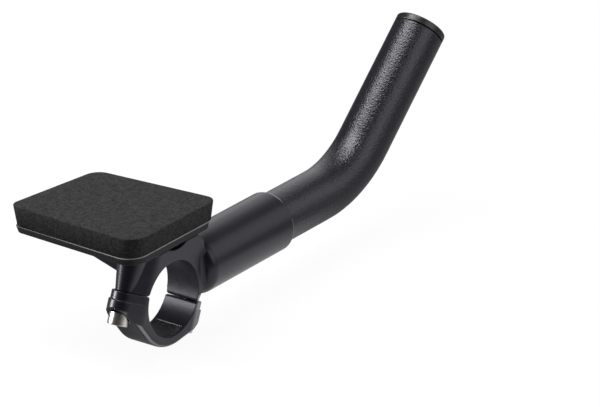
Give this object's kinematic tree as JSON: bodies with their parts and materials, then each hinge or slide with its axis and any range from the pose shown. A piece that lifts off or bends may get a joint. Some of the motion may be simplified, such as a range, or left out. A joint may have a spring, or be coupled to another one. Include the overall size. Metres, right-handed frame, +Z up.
{
  "type": "aero handlebar extension",
  "caption": "Short clip-on aero extension: split handlebar clamp carrying a padded forearm rest and a forward socket with an upswept round grip tube.",
  "frame": {"origin": "centre of the handlebar clamp's bore, on its axis and midway along its width", "axes": "+X along the handlebar towards the rider's right, +Y forwards along the extension's lower straight, +Z up through the arm pad"},
  "size_m": [0.0681, 0.2183, 0.0868],
  "materials": {
    "pad_foam": "matt fine-celled foam",
    "loop_fabric": "brushed loop pile",
    "hook_tape": "hook tape",
    "plate_plastic": "fine moulded grain",
    "dark_steel": "blackened",
    "black_anodised": "satin black anodised",
    "bright_steel": "turned and polished",
    "black_powder_coat": "fine-textured powder coat",
    "plug_plastic": "semi-gloss"
  },
  "bodies": {
    "root": {"arm_pad": "pad_foam", "loop_patch": "loop_fabric", "hook_patch": "hook_tape", "armrest_plate": "plate_plastic", "plate_screws": "dark_steel", "bracket": "black_anodised", "clamp_cap": "black_anodised", "clamp_bolts": "bright_steel", "extension_tube": "black_powder_coat", "end_plug": "plug_plastic"}
  },
  "joints": []
}
